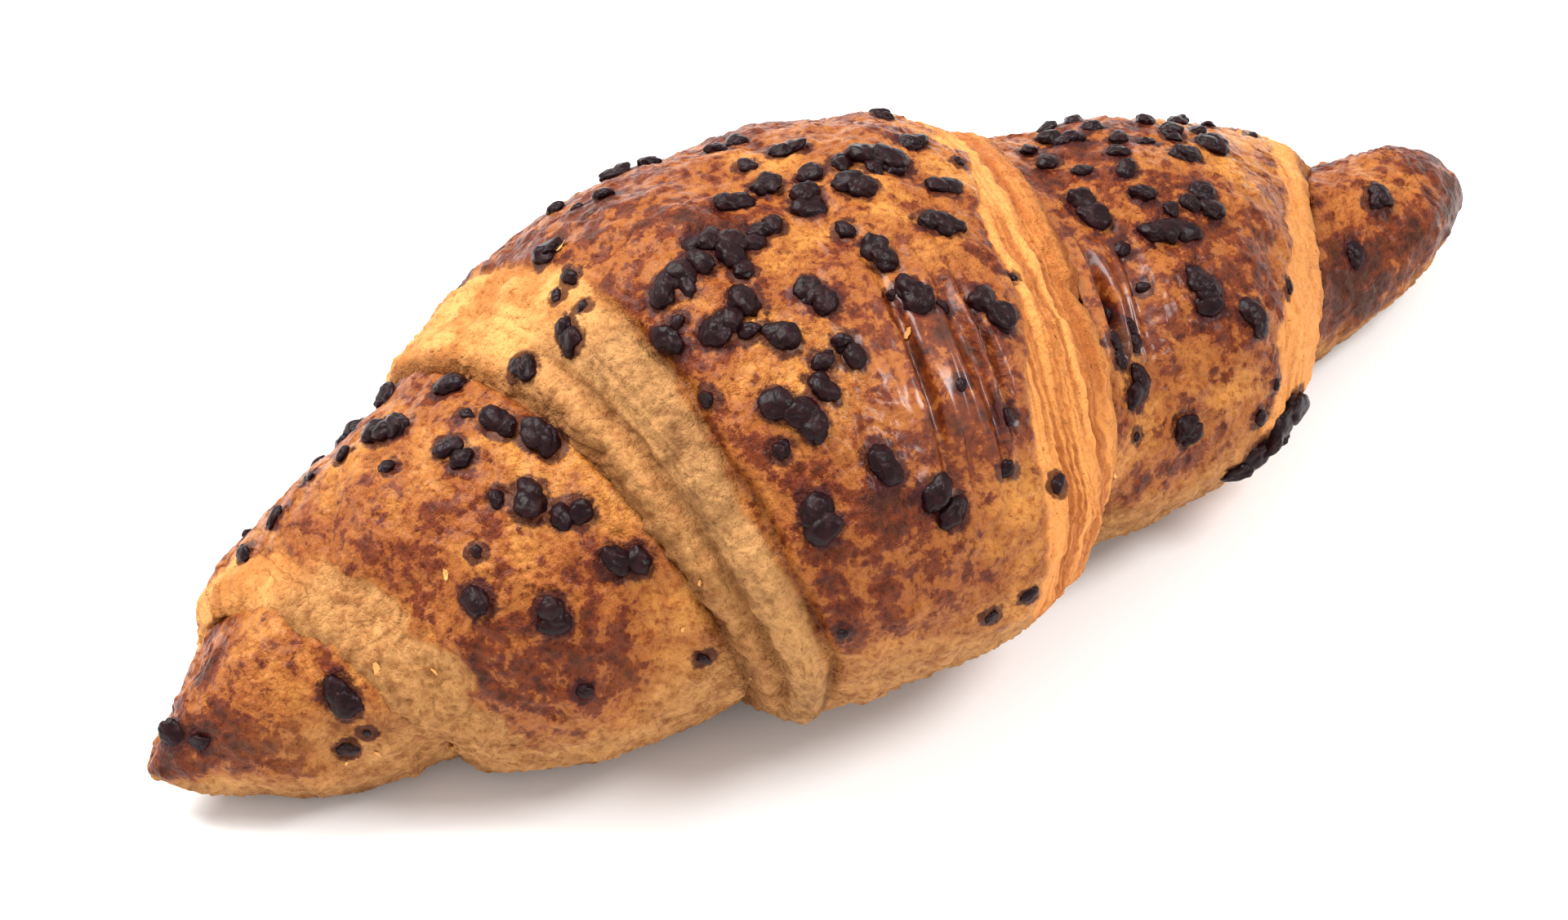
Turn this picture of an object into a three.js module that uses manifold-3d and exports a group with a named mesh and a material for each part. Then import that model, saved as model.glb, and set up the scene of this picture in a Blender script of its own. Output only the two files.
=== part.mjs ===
// A plump croissant, baked in one piece, with chocolate granules baked onto
// its crust. Millimetres, +Z up. The long axis lies on X, the side with the
// belly faces -Y, and it rests on its flattened underside at Z = 0.
//
// The dough is one sheet rolled up. What shows from outside is a core that
// ends in two blunt horns, a second wrap over it, and a fat outer wrap over
// that. Each wrap ends in a rounded lip that runs round the roll as a
// slanting crease.

import * as THREE from 'three';
import Module from 'manifold-3d';

// ---- driving dimensions -----------------------------------------------------

const REACH = { left: 89, right: 85.5 };        // middle of the roll to each horn's end
const HORN_END_R = { left: 4.4, right: 6 };     // radius of the blunt horn end
const HORN_NECK_R = { left: 11, right: 9 };     // radius where the horn comes out of the wraps
const HORN_NECK_RUN = 17;                       // horn end to its neck
const CORE_SWELL = 7;                           // extra core radius, neck to middle
const HORN_BLUNTNESS = 14;                      // higher is squarer

const SECOND_WRAP = { left: 9, right: 10 };     // thickness of the second wrap
const SECOND_WRAP_THINNING = 2.8;               // it thins towards the middle
const SECOND_LIP_RUN = { left: 14, right: 16 }; // how far its rounded lip takes to rise
const OUTER_WRAP = { left: 6.7, right: 7.2 };   // thickness of the outer wrap
const OUTER_LIP_RUN = { left: 18, right: 16 };
const SADDLE = 2.4;                             // slight dip round the middle
const SADDLE_RUN = 22;

// Where each lip meets the layer below it: on the upper back of the roll and
// at the foot of its front. Between the two it runs straight, so it slants.
const SECOND_LEFT_EDGE = { back: -73.5, foot: -58 };
const OUTER_LEFT_EDGE = { back: -45.5, foot: -28.5 };
const OUTER_RIGHT_EDGE = { back: 25.5, foot: 8 };
const SECOND_RIGHT_EDGE = { back: 68, foot: 46 };
const BACK_DEG = -45;                           // the two places the edges are given at,
const FOOT_DEG = 135;                           // in degrees from the top, + towards -Y
const UNDER_DEG = { from: 160, to: 220 };       // underneath, the edges swing back

const WIDE_MIDDLE = 1.32;                       // width over height, in the middle
const WIDE_ENDS = 1;                            // and at the horns
const WIDE_RUN = 55;
const HORN_SWEEP = { left: 7.5, right: 7 };     // the horns curve back, towards +Y
const HORN_LIFT = { left: 3.5, right: 3 };      // and rise off the table
const LIFT_START = { left: 0.74, right: 0.6 };  // share of the reach where the rise begins
const LIFT_END = { left: 1.02, right: 1 };
const SETTLE = 1;                               // the roll's centre line has sunk this far
const REST_DEPTH = 1.5;                         // and its underside is flattened this deep
const UNDER_SQUARENESS = 0.85;                  // below 1 the underside is boxier than round
const UNDER_START = 0.35;                       // how far down the side that begins, 0 to 1

// Where along X the left measures give way to the right ones, and where the
// wraps lift the centre line.
const SIDE_CHANGE = { from: -20, to: 20 };
const SECOND_LIFTS = { leftFrom: -72, leftTo: -46, rightFrom: 66, rightTo: 34 };
const OUTER_LIFTS = { leftFrom: -42, leftTo: -18, rightFrom: 28, rightTo: 0 };

const STATION_COUNTS = [                        // from the left horn's end to the right one's
  { count: 10, crowd: 'start' }, { count: 10, crowd: 'start' }, { count: 10, crowd: 'start' },
  { count: 7, crowd: 'end' }, { count: 11, crowd: 'end' }, { count: 10, crowd: 'end' },
];
const CROWDING = 1.5;
const AROUND = 42;

const GRANULE_SPREAD = 1.14;                    // they spread a little as they bake
const GRANULE_GAP = 0.32;                       // clear of the crust
const GRANULE_HEIGHT = 0.56;                    // height over pellet width
const GRANULE_SIDES = 9;
const NORMAL_STEP = 0.4;                        // the crust's slope is taken over twice this
const GRANULE_RINGS = [                         // shares of its reach and of its height
  { out: 0.45, up: 0.93 }, { out: 0.82, up: 0.62 }, { out: 1, up: 0.26 }, { out: 1, up: 0 },
];
const PELLET_NECK = 0.34;                       // melted pellets join at least this wide, by width

// Every granule is one to three pellets melted together. A pellet is given
// by its station on X, its angle round the roll and its width.
const GRANULES = [
  // left horn
  [[-70, 42, 3.4], [-70, 47, 3.5]],
  [[-86.4, -8, 2.2], [-86, 14, 2.4]],
  // second wrap, left
  [[-50.4, -56, 2.5], [-49.2, -56, 2.4]],
  [[-46.4, -28, 2.6], [-45.6, -27, 2.6]],
  [[-40.6, -13, 2.4], [-40, -10, 2.4]],
  [[-45.6, -5, 2.7], [-45.4, -1, 2.6]],
  [[-51, -5, 2.9], [-51, 2, 2.8]],
  [[-43, 5, 3.2], [-42.8, 10, 3.3]],
  [[-46.7, 18, 3.1], [-48, 24, 3.1]],
  [[-45.2, 29, 2.7], [-44, 30, 2.6]],
  [[-54.4, -32, 2.9], [-53.9, -23, 3.3]],
  [[-55, -66, 2.8], [-52.6, -66, 2.4]],
  [[-56.9, 37, 2.9], [-56.2, 39, 2.9]],
  [[-50.6, 51, 2.7], [-50.2, 55, 2.9]],
  [[-42.7, 45, 2.9], [-39.9, 47, 3.1]],
  // side wall of the outer wrap
  [[-35.2, -9, 2.5], [-35.6, -5, 2.8]],
  [[-31.3, -30, 2.6], [-30.1, -30, 2.5]],
  // outer wrap
  [[-17, -53, 2.4], [-15.2, -53, 2.6]],
  [[-2.8, -25, 2.3], [-1, -25, 2.4]],
  [[-8.6, -16, 2.5], [-7.3, -16, 2.5]],
  [[-13.4, -14, 2.3], [-11.6, -14, 2.6]],
  [[-5.6, -9, 2.2], [-4.4, -9, 2.2], [-6.6, -3.5, 2.5]],
  [[-13.5, -4.5, 2.6], [-11, -4.5, 2.1]],
  [[-0.7, -7.5, 3.1], [0.7, -4.5, 3.1]],
  [[-3.4, 9, 3.2], [-3.2, 12.5, 3.1]],
  [[-3.1, 19.5, 3.2], [-2.9, 22.5, 3.1]],
  [[-17.2, -6.5, 3.4], [-16.6, 0.5, 3.4], [-19, -1.5, 3.2]],
  [[-23.3, -2, 3], [-24.8, -0.5, 3], [-26.4, 2.5, 2.6]],
  [[-29.1, 8, 2.7], [-28.5, 10.5, 2.6]],
  [[-25.1, 13, 3], [-22, 12.4, 2.9], [-19.4, 10.8, 2.6]],
  [[-19.1, 18, 2.9], [-18.7, 21.5, 2.9]],
  [[-13.6, 12, 2.4], [-13.2, 17, 2.8]],
  [[-13.5, 25, 2.6], [-13.2, 28.5, 2.6]],
  [[-17.9, 30, 2.8], [-17.7, 33, 2.7]],
  [[-24, 30, 3.2], [-22.3, 36, 3.3], [-20.5, 39.5, 2.5]],
  [[3.2, -14.5, 2.5], [5, -12, 2.9], [7.6, -11.5, 3]],
  [[10.2, -17, 2.6], [11.8, -16.5, 2.6]],
  [[8.6, -2, 2.6], [10.4, -1.5, 2.7]],
  [[4.4, 6.5, 3.2], [5.9, 9, 3.2]],
  [[3.2, 26, 3], [4.6, 27.5, 2.9], [4.4, 32, 2.4]],
  [[-15.9, 48, 3.4], [-15.7, 51, 3.5]],
  [[-24.1, 52.5, 3.4], [-23.9, 56, 3.5]],
  [[-11.6, 56, 2.5], [-11, 63.5, 2.9], [-8.8, 62, 2.2]],
  // second wrap, right
  [[32.6, -27, 2.5], [34.6, -26, 2.6]],
  [[46.8, -21, 2.4], [45.8, -14, 2.4]],
  [[43.4, -5, 2.6], [44.6, -4.5, 2.6]],
  [[48.5, -9.5, 2.7], [49.8, -7.5, 2.7]],
  [[27.2, 0.5, 3], [28.4, 1.5, 2.6], [27.2, 9, 2.7]],
  [[42, 11, 2.8], [41.5, 17.5, 2.8]],
  [[33, 18, 3.4], [33.8, 21, 3.4], [37.4, 20.5, 2.9]],
  [[34.8, 35.5, 2.8], [34.5, 40, 2.9], [34.3, 44.5, 3.1]],
  [[38.9, 49.5, 2.5], [38.8, 53, 2.7], [38.7, 56.5, 2.4]],
  [[19.4, 42, 2.7], [19.3, 46, 2.7]],
  [[23.4, 40, 2.5], [23.2, 43, 2.5]],
  [[22, 52, 2.8], [20.4, 57.5, 3.3]],
  [[26.2, 71.5, 2.9], [26.4, 74.5, 2.8]],
  [[43.5, 108, 3], [41, 112, 3], [38.5, 113, 3]],
  // right horn
  [[64.5, 43, 2.4], [64.3, 47, 2.4]],
  [[70.4, 21, 2.3], [71.6, 22, 2.2]],
];

// ---- the crust --------------------------------------------------------------

const deg2rad = Math.PI / 180;
const clamp01 = (t) => Math.min(1, Math.max(0, t));
const ease = (a, b, t) => {
  const s = clamp01((t - a) / (b - a));
  return s * s * (3 - 2 * s);
};
const sideMix = (x) => ease(SIDE_CHANGE.from, SIDE_CHANGE.to, x);
const between = (pair, x) => pair.left + (pair.right - pair.left) * sideMix(x);

// Angle round the roll, folded so that it swings back underneath.
function foldedAngle(deg) {
  const turn = UNDER_DEG.to - 360;
  let a = ((deg + 180) % 360 + 360) % 360 - 180;
  if (a < turn) a += 360;
  if (a <= UNDER_DEG.from) return a;
  return UNDER_DEG.from + (turn - UNDER_DEG.from) * ease(UNDER_DEG.from, UNDER_DEG.to, a);
}

function edgeAt(edge, deg) {
  return edge.back + (edge.foot - edge.back) * (foldedAngle(deg) - BACK_DEG) / (FOOT_DEG - BACK_DEG);
}

// A quarter-round rise: 0 at the edge, 1 once past the run.
function lip(past, run) {
  const t = clamp01(past / run);
  return Math.sqrt(1 - (1 - t) * (1 - t));
}

// The core as if its horns ran on, and then with their blunt ends.
function coreBody(x) {
  const reach = x < 0 ? REACH.left : REACH.right;
  const inward = Math.max(0, reach - Math.abs(x));
  const end = between(HORN_END_R, x);
  const neck = between(HORN_NECK_R, x);
  const taper = end + (neck - end) * Math.sin(Math.PI / 2 * clamp01(inward / HORN_NECK_RUN));
  return taper + CORE_SWELL * clamp01((inward - HORN_NECK_RUN) / reach);
}

function coreRadius(x) {
  const share = clamp01(Math.abs(x) / (x < 0 ? REACH.left : REACH.right));
  return coreBody(x) * Math.sqrt(Math.max(0, 1 - share ** HORN_BLUNTNESS));
}

function wrapThickness(x) {
  const reach = x < 0 ? REACH.left : REACH.right;
  return between(SECOND_WRAP, x) - SECOND_WRAP_THINNING * (1 - clamp01(Math.abs(x) / reach));
}

function rollRadius(x, deg) {
  const second = lip(x - edgeAt(SECOND_LEFT_EDGE, deg), SECOND_LIP_RUN.left)
    * lip(edgeAt(SECOND_RIGHT_EDGE, deg) - x, SECOND_LIP_RUN.right);
  const outer = lip(x - edgeAt(OUTER_LEFT_EDGE, deg), OUTER_LIP_RUN.left)
    * lip(edgeAt(OUTER_RIGHT_EDGE, deg) - x, OUTER_LIP_RUN.right);
  return coreRadius(x) + wrapThickness(x) * second + between(OUTER_WRAP, x) * outer
    - saddle(x);
}

const saddle = (x) => SADDLE * Math.exp(-((x / SADDLE_RUN) ** 2));

const hornLift = (x) => HORN_LIFT.left * ease(LIFT_START.left, LIFT_END.left, -x / REACH.left)
  + HORN_LIFT.right * ease(LIFT_START.right, LIFT_END.right, x / REACH.right);

// Height of the roll's centre line, so that its underside lies near the table.
function centreHeight(x) {
  const rise = (lifts) => ease(lifts.leftFrom, lifts.leftTo, x) * ease(lifts.rightFrom, lifts.rightTo, x);
  return coreBody(x) + wrapThickness(x) * rise(SECOND_LIFTS)
    + between(OUTER_WRAP, x) * rise(OUTER_LIFTS) - saddle(x) - SETTLE + hornLift(x);
}

function crustPoint(x, deg) {
  const r = rollRadius(x, deg);
  const centre = centreHeight(x);
  const wide = WIDE_ENDS + (WIDE_MIDDLE - WIDE_ENDS) * Math.exp(-((x / WIDE_RUN) ** 2));
  const sweep = HORN_SWEEP.left * clamp01(-x / REACH.left) ** 2
    + HORN_SWEEP.right * clamp01(x / REACH.right) ** 2;
  const a = deg * deg2rad;
  const up = Math.max(0, Math.cos(a));
  const down = Math.max(0, -Math.cos(a));
  // Low on the sides the wraps run together into one flat sole.
  const sole = ease(UNDER_START, 1, down);
  const soleDepth = (centre + REST_DEPTH - hornLift(x)) * Math.min(1, r / coreBody(x));
  const depth = ((1 - sole) * r + sole * soleDepth) * down ** (1 - (1 - UNDER_SQUARENESS) * sole);
  return new THREE.Vector3(x, sweep - wide * r * Math.sin(a), centre + r * up - depth);
}

function crustNormal(x, deg) {
  const along = crustPoint(x + NORMAL_STEP, deg).sub(crustPoint(x - NORMAL_STEP, deg));
  const round = crustPoint(x, deg + 1).sub(crustPoint(x, deg - 1));
  return round.cross(along).normalize();
}

// ---- solids -----------------------------------------------------------------

const wasm = await Module();
wasm.setup();

function closedSolid(points, faces) {
  return new wasm.Manifold(new wasm.Mesh({
    numProp: 3,
    vertProperties: new Float32Array(points.flatMap((p) => [p.x, p.y, p.z])),
    triVerts: new Uint32Array(faces.flat()),
  }));
}

function toGeometry(solid) {
  const mesh = solid.getMesh();
  const geometry = new THREE.BufferGeometry();
  geometry.setAttribute('position', new THREE.BufferAttribute(new Float32Array(mesh.vertProperties), 3));
  geometry.setIndex(new THREE.BufferAttribute(new Uint32Array(mesh.triVerts), 1));
  geometry.computeVertexNormals();
  return geometry;
}

// Stations along the roll at one angle. They run from crease to crease, so
// each crease is a clean line, and crowd where the surface turns fastest.
function stationsAt(deg) {
  const stops = [
    -REACH.left, edgeAt(SECOND_LEFT_EDGE, deg), edgeAt(OUTER_LEFT_EDGE, deg), 0,
    edgeAt(OUTER_RIGHT_EDGE, deg), edgeAt(SECOND_RIGHT_EDGE, deg), REACH.right,
  ];
  const stations = [];
  STATION_COUNTS.forEach(({ count, crowd }, span) => {
    for (let i = span === 0 ? 1 : 0; i < count; i += 1) {
      const t = crowd === 'start' ? (i / count) ** CROWDING : 1 - (1 - i / count) ** CROWDING;
      stations.push(stops[span] + (stops[span + 1] - stops[span]) * t);
    }
  });
  return stations;
}

function croissantSolid() {
  const columns = Array.from({ length: AROUND }, (_, k) => stationsAt(k * 360 / AROUND));
  const rows = columns[0].length;
  const points = [];
  for (let i = 0; i < rows; i += 1) {
    columns.forEach((stations, k) => points.push(crustPoint(stations[i], k * 360 / AROUND)));
  }
  const leftPole = points.push(crustPoint(-REACH.left, 0)) - 1;
  const rightPole = points.push(crustPoint(REACH.right, 0)) - 1;
  const faces = [];
  for (let i = 0; i + 1 < rows; i += 1) {
    for (let k = 0; k < AROUND; k += 1) {
      const a = i * AROUND + k;
      const b = i * AROUND + (k + 1) % AROUND;
      faces.push([a, b, b + AROUND], [a, b + AROUND, a + AROUND]);
    }
  }
  const last = (rows - 1) * AROUND;
  for (let k = 0; k < AROUND; k += 1) {
    const next = (k + 1) % AROUND;
    faces.push([leftPole, next, k], [rightPole, last + k, last + next]);
  }
  return closedSolid(points, faces).trimByPlane([0, 0, 1], 0);
}

// One granule: a low dome over the joined outline of its pellets, with its
// underside following the crust.
function granuleSolid(pellets) {
  const x0 = pellets.reduce((sum, p) => sum + p[0], 0) / pellets.length;
  const deg0 = pellets.reduce((sum, p) => sum + p[1], 0) / pellets.length;
  const perX = crustPoint(x0 + 0.5, deg0).distanceTo(crustPoint(x0 - 0.5, deg0));
  const perDeg = crustPoint(x0, deg0 + 0.5).distanceTo(crustPoint(x0, deg0 - 0.5));
  const discs = pellets.map(([x, deg, across]) => ({
    p: (x - x0) * perX, q: (deg - deg0) * perDeg, r: GRANULE_SPREAD * across / 2,
  }));
  const sides = GRANULE_SIDES + 3 * (pellets.length - 1);
  const widest = Math.max(...pellets.map((p) => p[2]));
  const reachOut = (c, s) => Math.max(PELLET_NECK * widest, ...discs.map((d) => {
    const along = d.p * c + d.q * s;
    const off = d.p * s - d.q * c;
    return Math.abs(off) < d.r ? along + Math.sqrt(d.r * d.r - off * off) : 0;
  }));
  const place = (p, q, h) => {
    const x = x0 + p / perX;
    const deg = deg0 + q / perDeg;
    return crustPoint(x, deg).addScaledVector(crustNormal(x, deg), GRANULE_GAP + h);
  };
  const top = GRANULE_HEIGHT * widest;
  const points = [place(0, 0, top)];
  GRANULE_RINGS.forEach(({ out, up }) => {
    for (let k = 0; k < sides; k += 1) {
      const a = 2 * Math.PI * k / sides;
      const reach = out * reachOut(Math.cos(a), Math.sin(a));
      points.push(place(reach * Math.cos(a), reach * Math.sin(a), up * top));
    }
  });
  const under = points.push(place(0, 0, 0)) - 1;
  const faces = [];
  for (let k = 0; k < sides; k += 1) {
    const next = (k + 1) % sides;
    faces.push([0, 1 + next, 1 + k]);
    for (let ring = 0; ring + 1 < GRANULE_RINGS.length; ring += 1) {
      const a = 1 + ring * sides;
      faces.push([a + k, a + next, a + sides + next], [a + k, a + sides + next, a + sides + k]);
    }
    const rim = 1 + (GRANULE_RINGS.length - 1) * sides;
    faces.push([under, rim + k, rim + next]);
  }
  return closedSolid(points, faces);
}

// ---- assembly ---------------------------------------------------------------

const crust = new THREE.MeshStandardMaterial({ name: 'crust', color: 0xc07a35, roughness: 0.42 });
const chocolate = new THREE.MeshStandardMaterial({ name: 'chocolate', color: 0x2a1410, roughness: 0.38 });

const croissant = new THREE.Group();
croissant.name = 'chocolate_croissant';

function addPiece(name, solid, material) {
  const mesh = new THREE.Mesh(toGeometry(solid), material);
  mesh.name = name;
  croissant.add(mesh);
}

addPiece('croissant', croissantSolid(), crust);
GRANULES.forEach((pellets, i) => {
  addPiece(`granule_${String(i + 1).padStart(2, '0')}`, granuleSolid(pellets), chocolate);
});

// Centre the whole part over the origin, standing on Z = 0.
const box = new THREE.Box3().setFromObject(croissant);
const middle = box.getCenter(new THREE.Vector3());
croissant.children.forEach((mesh) => mesh.geometry.translate(-middle.x, -middle.y, -box.min.z));

export default croissant;
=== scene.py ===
# A plump croissant with chocolate granules baked onto its crust, lying on a pale table.
# Lengths in the dictionaries are millimetres, angles are degrees round the roll:
# 0 is its top, and they grow towards the belly side.
import math
import bmesh
import bpy
import numpy as np
from mathutils import Matrix, Vector
from mathutils.bvhtree import BVHTree


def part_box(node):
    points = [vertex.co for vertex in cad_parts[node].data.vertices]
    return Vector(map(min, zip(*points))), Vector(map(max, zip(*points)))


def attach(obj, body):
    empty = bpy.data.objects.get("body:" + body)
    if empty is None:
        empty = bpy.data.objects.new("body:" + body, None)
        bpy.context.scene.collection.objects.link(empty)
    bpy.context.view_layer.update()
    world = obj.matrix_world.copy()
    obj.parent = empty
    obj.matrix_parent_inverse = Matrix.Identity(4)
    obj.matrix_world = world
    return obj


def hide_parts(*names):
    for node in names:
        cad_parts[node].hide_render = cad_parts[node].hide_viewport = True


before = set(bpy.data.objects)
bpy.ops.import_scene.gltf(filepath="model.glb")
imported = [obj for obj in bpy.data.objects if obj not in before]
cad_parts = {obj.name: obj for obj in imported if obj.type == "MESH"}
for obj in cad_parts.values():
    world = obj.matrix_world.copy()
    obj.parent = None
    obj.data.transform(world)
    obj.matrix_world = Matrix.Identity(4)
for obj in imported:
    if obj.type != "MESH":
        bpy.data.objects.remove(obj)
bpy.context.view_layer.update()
mm = 0.001
print("frame loaded,", len(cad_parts), "parts")


def ease(a, b, t):
    s = np.clip((t - a) / (b - a), 0, 1)
    return s * s * (3 - 2 * s)


def hump(t, middle, reach):
    return np.exp(-((t - middle) / reach) ** 2)


def paint(red, green, blue):
    # screen colour to the linear colour that shaders take
    values = [c / 12.92 if c <= 0.04045 else ((c + 0.055) / 1.055) ** 2.4 for c in (red, green, blue)]
    return (*values, 1.0)


noise = {"cells": 48, "offset": 100.37, "fade": 1.8, "level": 1.4}
noiseBook = {}

# one number for each random field, so that every run gives the same croissant
seeds = {
    "wobble": 11, "fineWobble": 15, "patch": 21, "lump": 31, "blister": 41, "pimple": 51, "grain": 55,
    "knobs": 61, "wallWrinkle": 71, "wallFold": 75, "crossWrinkle": 78, "stripe": 81, "fineStripe": 85,
    "folds": 91, "flakes": 95, "drops": 111, "granules": 300, "crumbs": 200,
}


def softNoise(points, size, seed):
    # smooth random field from -1 to 1, with blobs of about this size
    if seed not in noiseBook:
        noiseBook[seed] = np.random.default_rng(seed).random((noise["cells"],) * 3) * 2 - 1
    grid = noiseBook[seed]
    q = points / np.asarray(size, float) + noise["offset"] + seed
    cell = np.floor(q).astype(np.int64)
    part = q - cell
    part = part * part * part * (part * (part * 6 - 15) + 10)
    total = np.zeros(points.shape[:-1])
    for corner in range(8):
        step = np.array([corner & 1, corner >> 1 & 1, corner >> 2 & 1])
        weight = np.prod(np.where(step, part, 1 - part), axis=-1)
        i, j, k = np.moveaxis((cell + step) % noise["cells"], -1, 0)
        total += weight * grid[i, j, k]
    return total


def layeredNoise(points, size, seed, layers=3):
    size = np.asarray(size, float)
    total = sum(softNoise(points, size / 2 ** n, seed + n) / noise["fade"] ** n for n in range(layers))
    return total / noise["level"]


# the roll's shape, the same as the frame's croissant; pairs are its left and right half
roll = {
    "leftReach": 89, "rightReach": 85.5,
    "hornEnd": (4.4, 6), "hornNeck": (11, 9), "neckRun": 17, "coreSwell": 7, "blunt": 14,
    "secondWrap": (9, 10), "secondThins": 2.8, "secondLip": (14, 16),
    "outerWrap": (6.7, 7.2), "outerLip": (18, 16),
    "saddle": 2.4, "saddleRun": 22,
    "wide": (1, 1.32), "wideRun": 55,
    "sweep": (7.5, 7), "lift": (3.5, 3), "liftStart": (0.74, 0.6), "liftEnd": (1.02, 1),
    "settle": 1, "restDepth": 1.5, "underSquareness": 0.85, "underStart": 0.35,
    "sideChange": (-20, 20), "secondLifts": (-72, -46, 66, 34), "outerLifts": (-42, -18, 28, 0),
}

# where each wrap's lip meets the layer below: on the upper back, and at the foot of the front
creases = {
    "secondLeft": (-73.5, -58), "outerLeft": (-45.5, -28.5),
    "outerRight": (25.5, 8), "secondRight": (68, 46),
    "backAngle": -45, "footAngle": 135, "underFrom": 160, "underTo": 220,
}


def foldedAngle(deg):
    a = (np.asarray(deg, float) + 180) % 360 - 180
    turn = creases["underTo"] - 360
    a = np.where(a < turn, a + 360, a)
    back = ease(creases["underFrom"], creases["underTo"], a)
    under = creases["underFrom"] + (turn - creases["underFrom"]) * back
    return np.where(a <= creases["underFrom"], a, under)


def creaseAt(name, deg):
    back, foot = creases[name]
    share = (foldedAngle(deg) - creases["backAngle"]) / (creases["footAngle"] - creases["backAngle"])
    return back + (foot - back) * share


def lip(past, run):
    t = np.clip(past / run, 0, 1)
    return np.sqrt(np.clip(1 - (1 - t) ** 2, 0, 1))


def crustPoints(x, deg):
    reach = np.where(x < 0, roll["leftReach"], roll["rightReach"])
    mix = ease(*roll["sideChange"], x)
    between = lambda pair: pair[0] * (1 - mix) + pair[1] * mix
    share = np.clip(np.abs(x) / reach, 0, 1)
    inward = reach * (1 - share)
    end, neck = between(roll["hornEnd"]), between(roll["hornNeck"])
    body = end + (neck - end) * np.sin(math.pi / 2 * np.clip(inward / roll["neckRun"], 0, 1))
    body = body + roll["coreSwell"] * np.clip((inward - roll["neckRun"]) / reach, 0, 1)
    core = body * np.sqrt(np.clip(1 - share ** roll["blunt"], 0, 1))
    second = between(roll["secondWrap"]) - roll["secondThins"] * (1 - share)
    outer = between(roll["outerWrap"])
    saddle = roll["saddle"] * hump(x, 0, roll["saddleRun"])
    r = core - saddle
    r = r + second * lip(x - creaseAt("secondLeft", deg), roll["secondLip"][0]) \
        * lip(creaseAt("secondRight", deg) - x, roll["secondLip"][1])
    r = r + outer * lip(x - creaseAt("outerLeft", deg), roll["outerLip"][0]) \
        * lip(creaseAt("outerRight", deg) - x, roll["outerLip"][1])
    rise = lambda s: ease(s[0], s[1], x) * ease(s[2], s[3], x)
    left, right = np.clip(-x / reach, 0, 1), np.clip(x / reach, 0, 1)
    lift = roll["lift"][0] * ease(roll["liftStart"][0], roll["liftEnd"][0], left) \
        + roll["lift"][1] * ease(roll["liftStart"][1], roll["liftEnd"][1], right)
    centre = body + second * rise(roll["secondLifts"]) + outer * rise(roll["outerLifts"]) \
        - saddle - roll["settle"] + lift
    wide = roll["wide"][0] + (roll["wide"][1] - roll["wide"][0]) * hump(x, 0, roll["wideRun"])
    sweep = roll["sweep"][0] * left ** 2 + roll["sweep"][1] * right ** 2
    a = np.radians(deg)
    down = np.clip(-np.cos(a), 0, 1)
    sole = ease(roll["underStart"], 1, down)
    depth = (centre + roll["restDepth"] - lift) * np.minimum(1, r / body)
    power = 1 - (1 - roll["underSquareness"]) * sole
    z = centre + r * np.clip(np.cos(a), 0, 1) - ((1 - sole) * r + sole * depth) * down ** power
    return np.stack([x, sweep - wide * r * np.sin(a), np.maximum(z, 0)], -1)


# how many rows of points lie between the creases, and how they crowd beside them
crustGrid = {
    "stations": (110, 190, 200, 170, 200, 120), "crowdStart": (1, 1, 1, 0, 0, 0), "crowding": 1.5,
    "around": 560, "quickShare": 0.5, "tipUv": 0.01,
}

# how wide the bands beside the creases are, by the angle round the roll
bands = {
    "angles": (-45, 0, 15, 30, 45, 60, 90, 130),
    "leftWall": (13, 11, 10, 8.5, 7.5, 7, 7, 6),
    "outerRight": (6, 7, 9.4, 10, 12.5, 14, 13, 11),
    "secondRight": (5, 5, 6, 7.3, 9.4, 12.6, 14, 14),
    "secondLeft": (3, 3.2, 3.5, 4, 4, 4, 4.5, 5),
}

# where the crust is pale or glazed, and how ragged the edges between them are
edges = {
    "wobble": (9, 1.7), "fineWobble": (2.2, 0.7), "wallRagged": 0.05, "bandRagged": 1.3, "lowRagged": 5,
    "grooveRagged": 0.35, "lowGrooveRagged": 0.3, "upperRagged": 4, "streakRagged": 0.1,
    "wallEnd": (0.9, 1.02), "bandEnd": (0.9, 1.04), "farBandEnd": (0.86, 1.08), "rimEnd": (0.8, 1.15),
    "low": (80, 112), "paleLow": (62, 100), "paleBeside": (-17, -6),
    "hornLow": (30, 75), "hornBeside": (-20, -7), "hornPale": 0.9, "farBand": 0.9,
    "wallSeen": (-18, 12), "wallHides": (105, 125), "wallTone": (-0.05, 0.12),
    "upper": (-22, 2), "sole": (9, 0.5), "gloss": 0.12,
}

# how strongly the crust has browned: layer, amount, then the middle and reach of the
# place along the roll and round it, None where it has no limit
browning = {
    "base": 0.35, "patch": (14, 0.22), "lowKeeps": 0.3,
    "farSide": (-25, -60, 0.16), "wallEdge": (1.5, 3, 0.12), "wallEdgeFrom": (0, 30),
    "spots": [
        ("outer", 0.10, None, None), ("rightSecond", 0.09, None, None),
        ("leftSecond", -0.1, None, (-40, 40)),
        ("leftSecond", 0.40, (-52, 11), (75, 35)), ("leftSecond", 0.12, (-55, 9), None),
        ("outer", 0.41, (-3, 9), (38, 24)), ("outer", 0.34, (-22, 9), (-14, 20)),
        ("outer", 0.06, (-15, 12), (60, 18)), ("outer", -0.22, (8, 9), (85, 25)),
        ("rightSecond", 0.30, (26, 8), (28, 26)), ("rightSecond", 0.14, (42, 8), (35, 30)),
        ("rightSecond", 0.12, (40, 12), (-25, 20)),
        ("leftHorn", 0.02, None, None), ("leftHorn", 0.26, None, (50, 35)),
        ("leftHorn", 0.25, (-86, 6), None), ("rightHorn", 0.2, None, None),
        ("rightHorn", 0.3, (83, 5), None), ("rightHorn", 0.3, None, (80, 35)),
    ],
}

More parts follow.
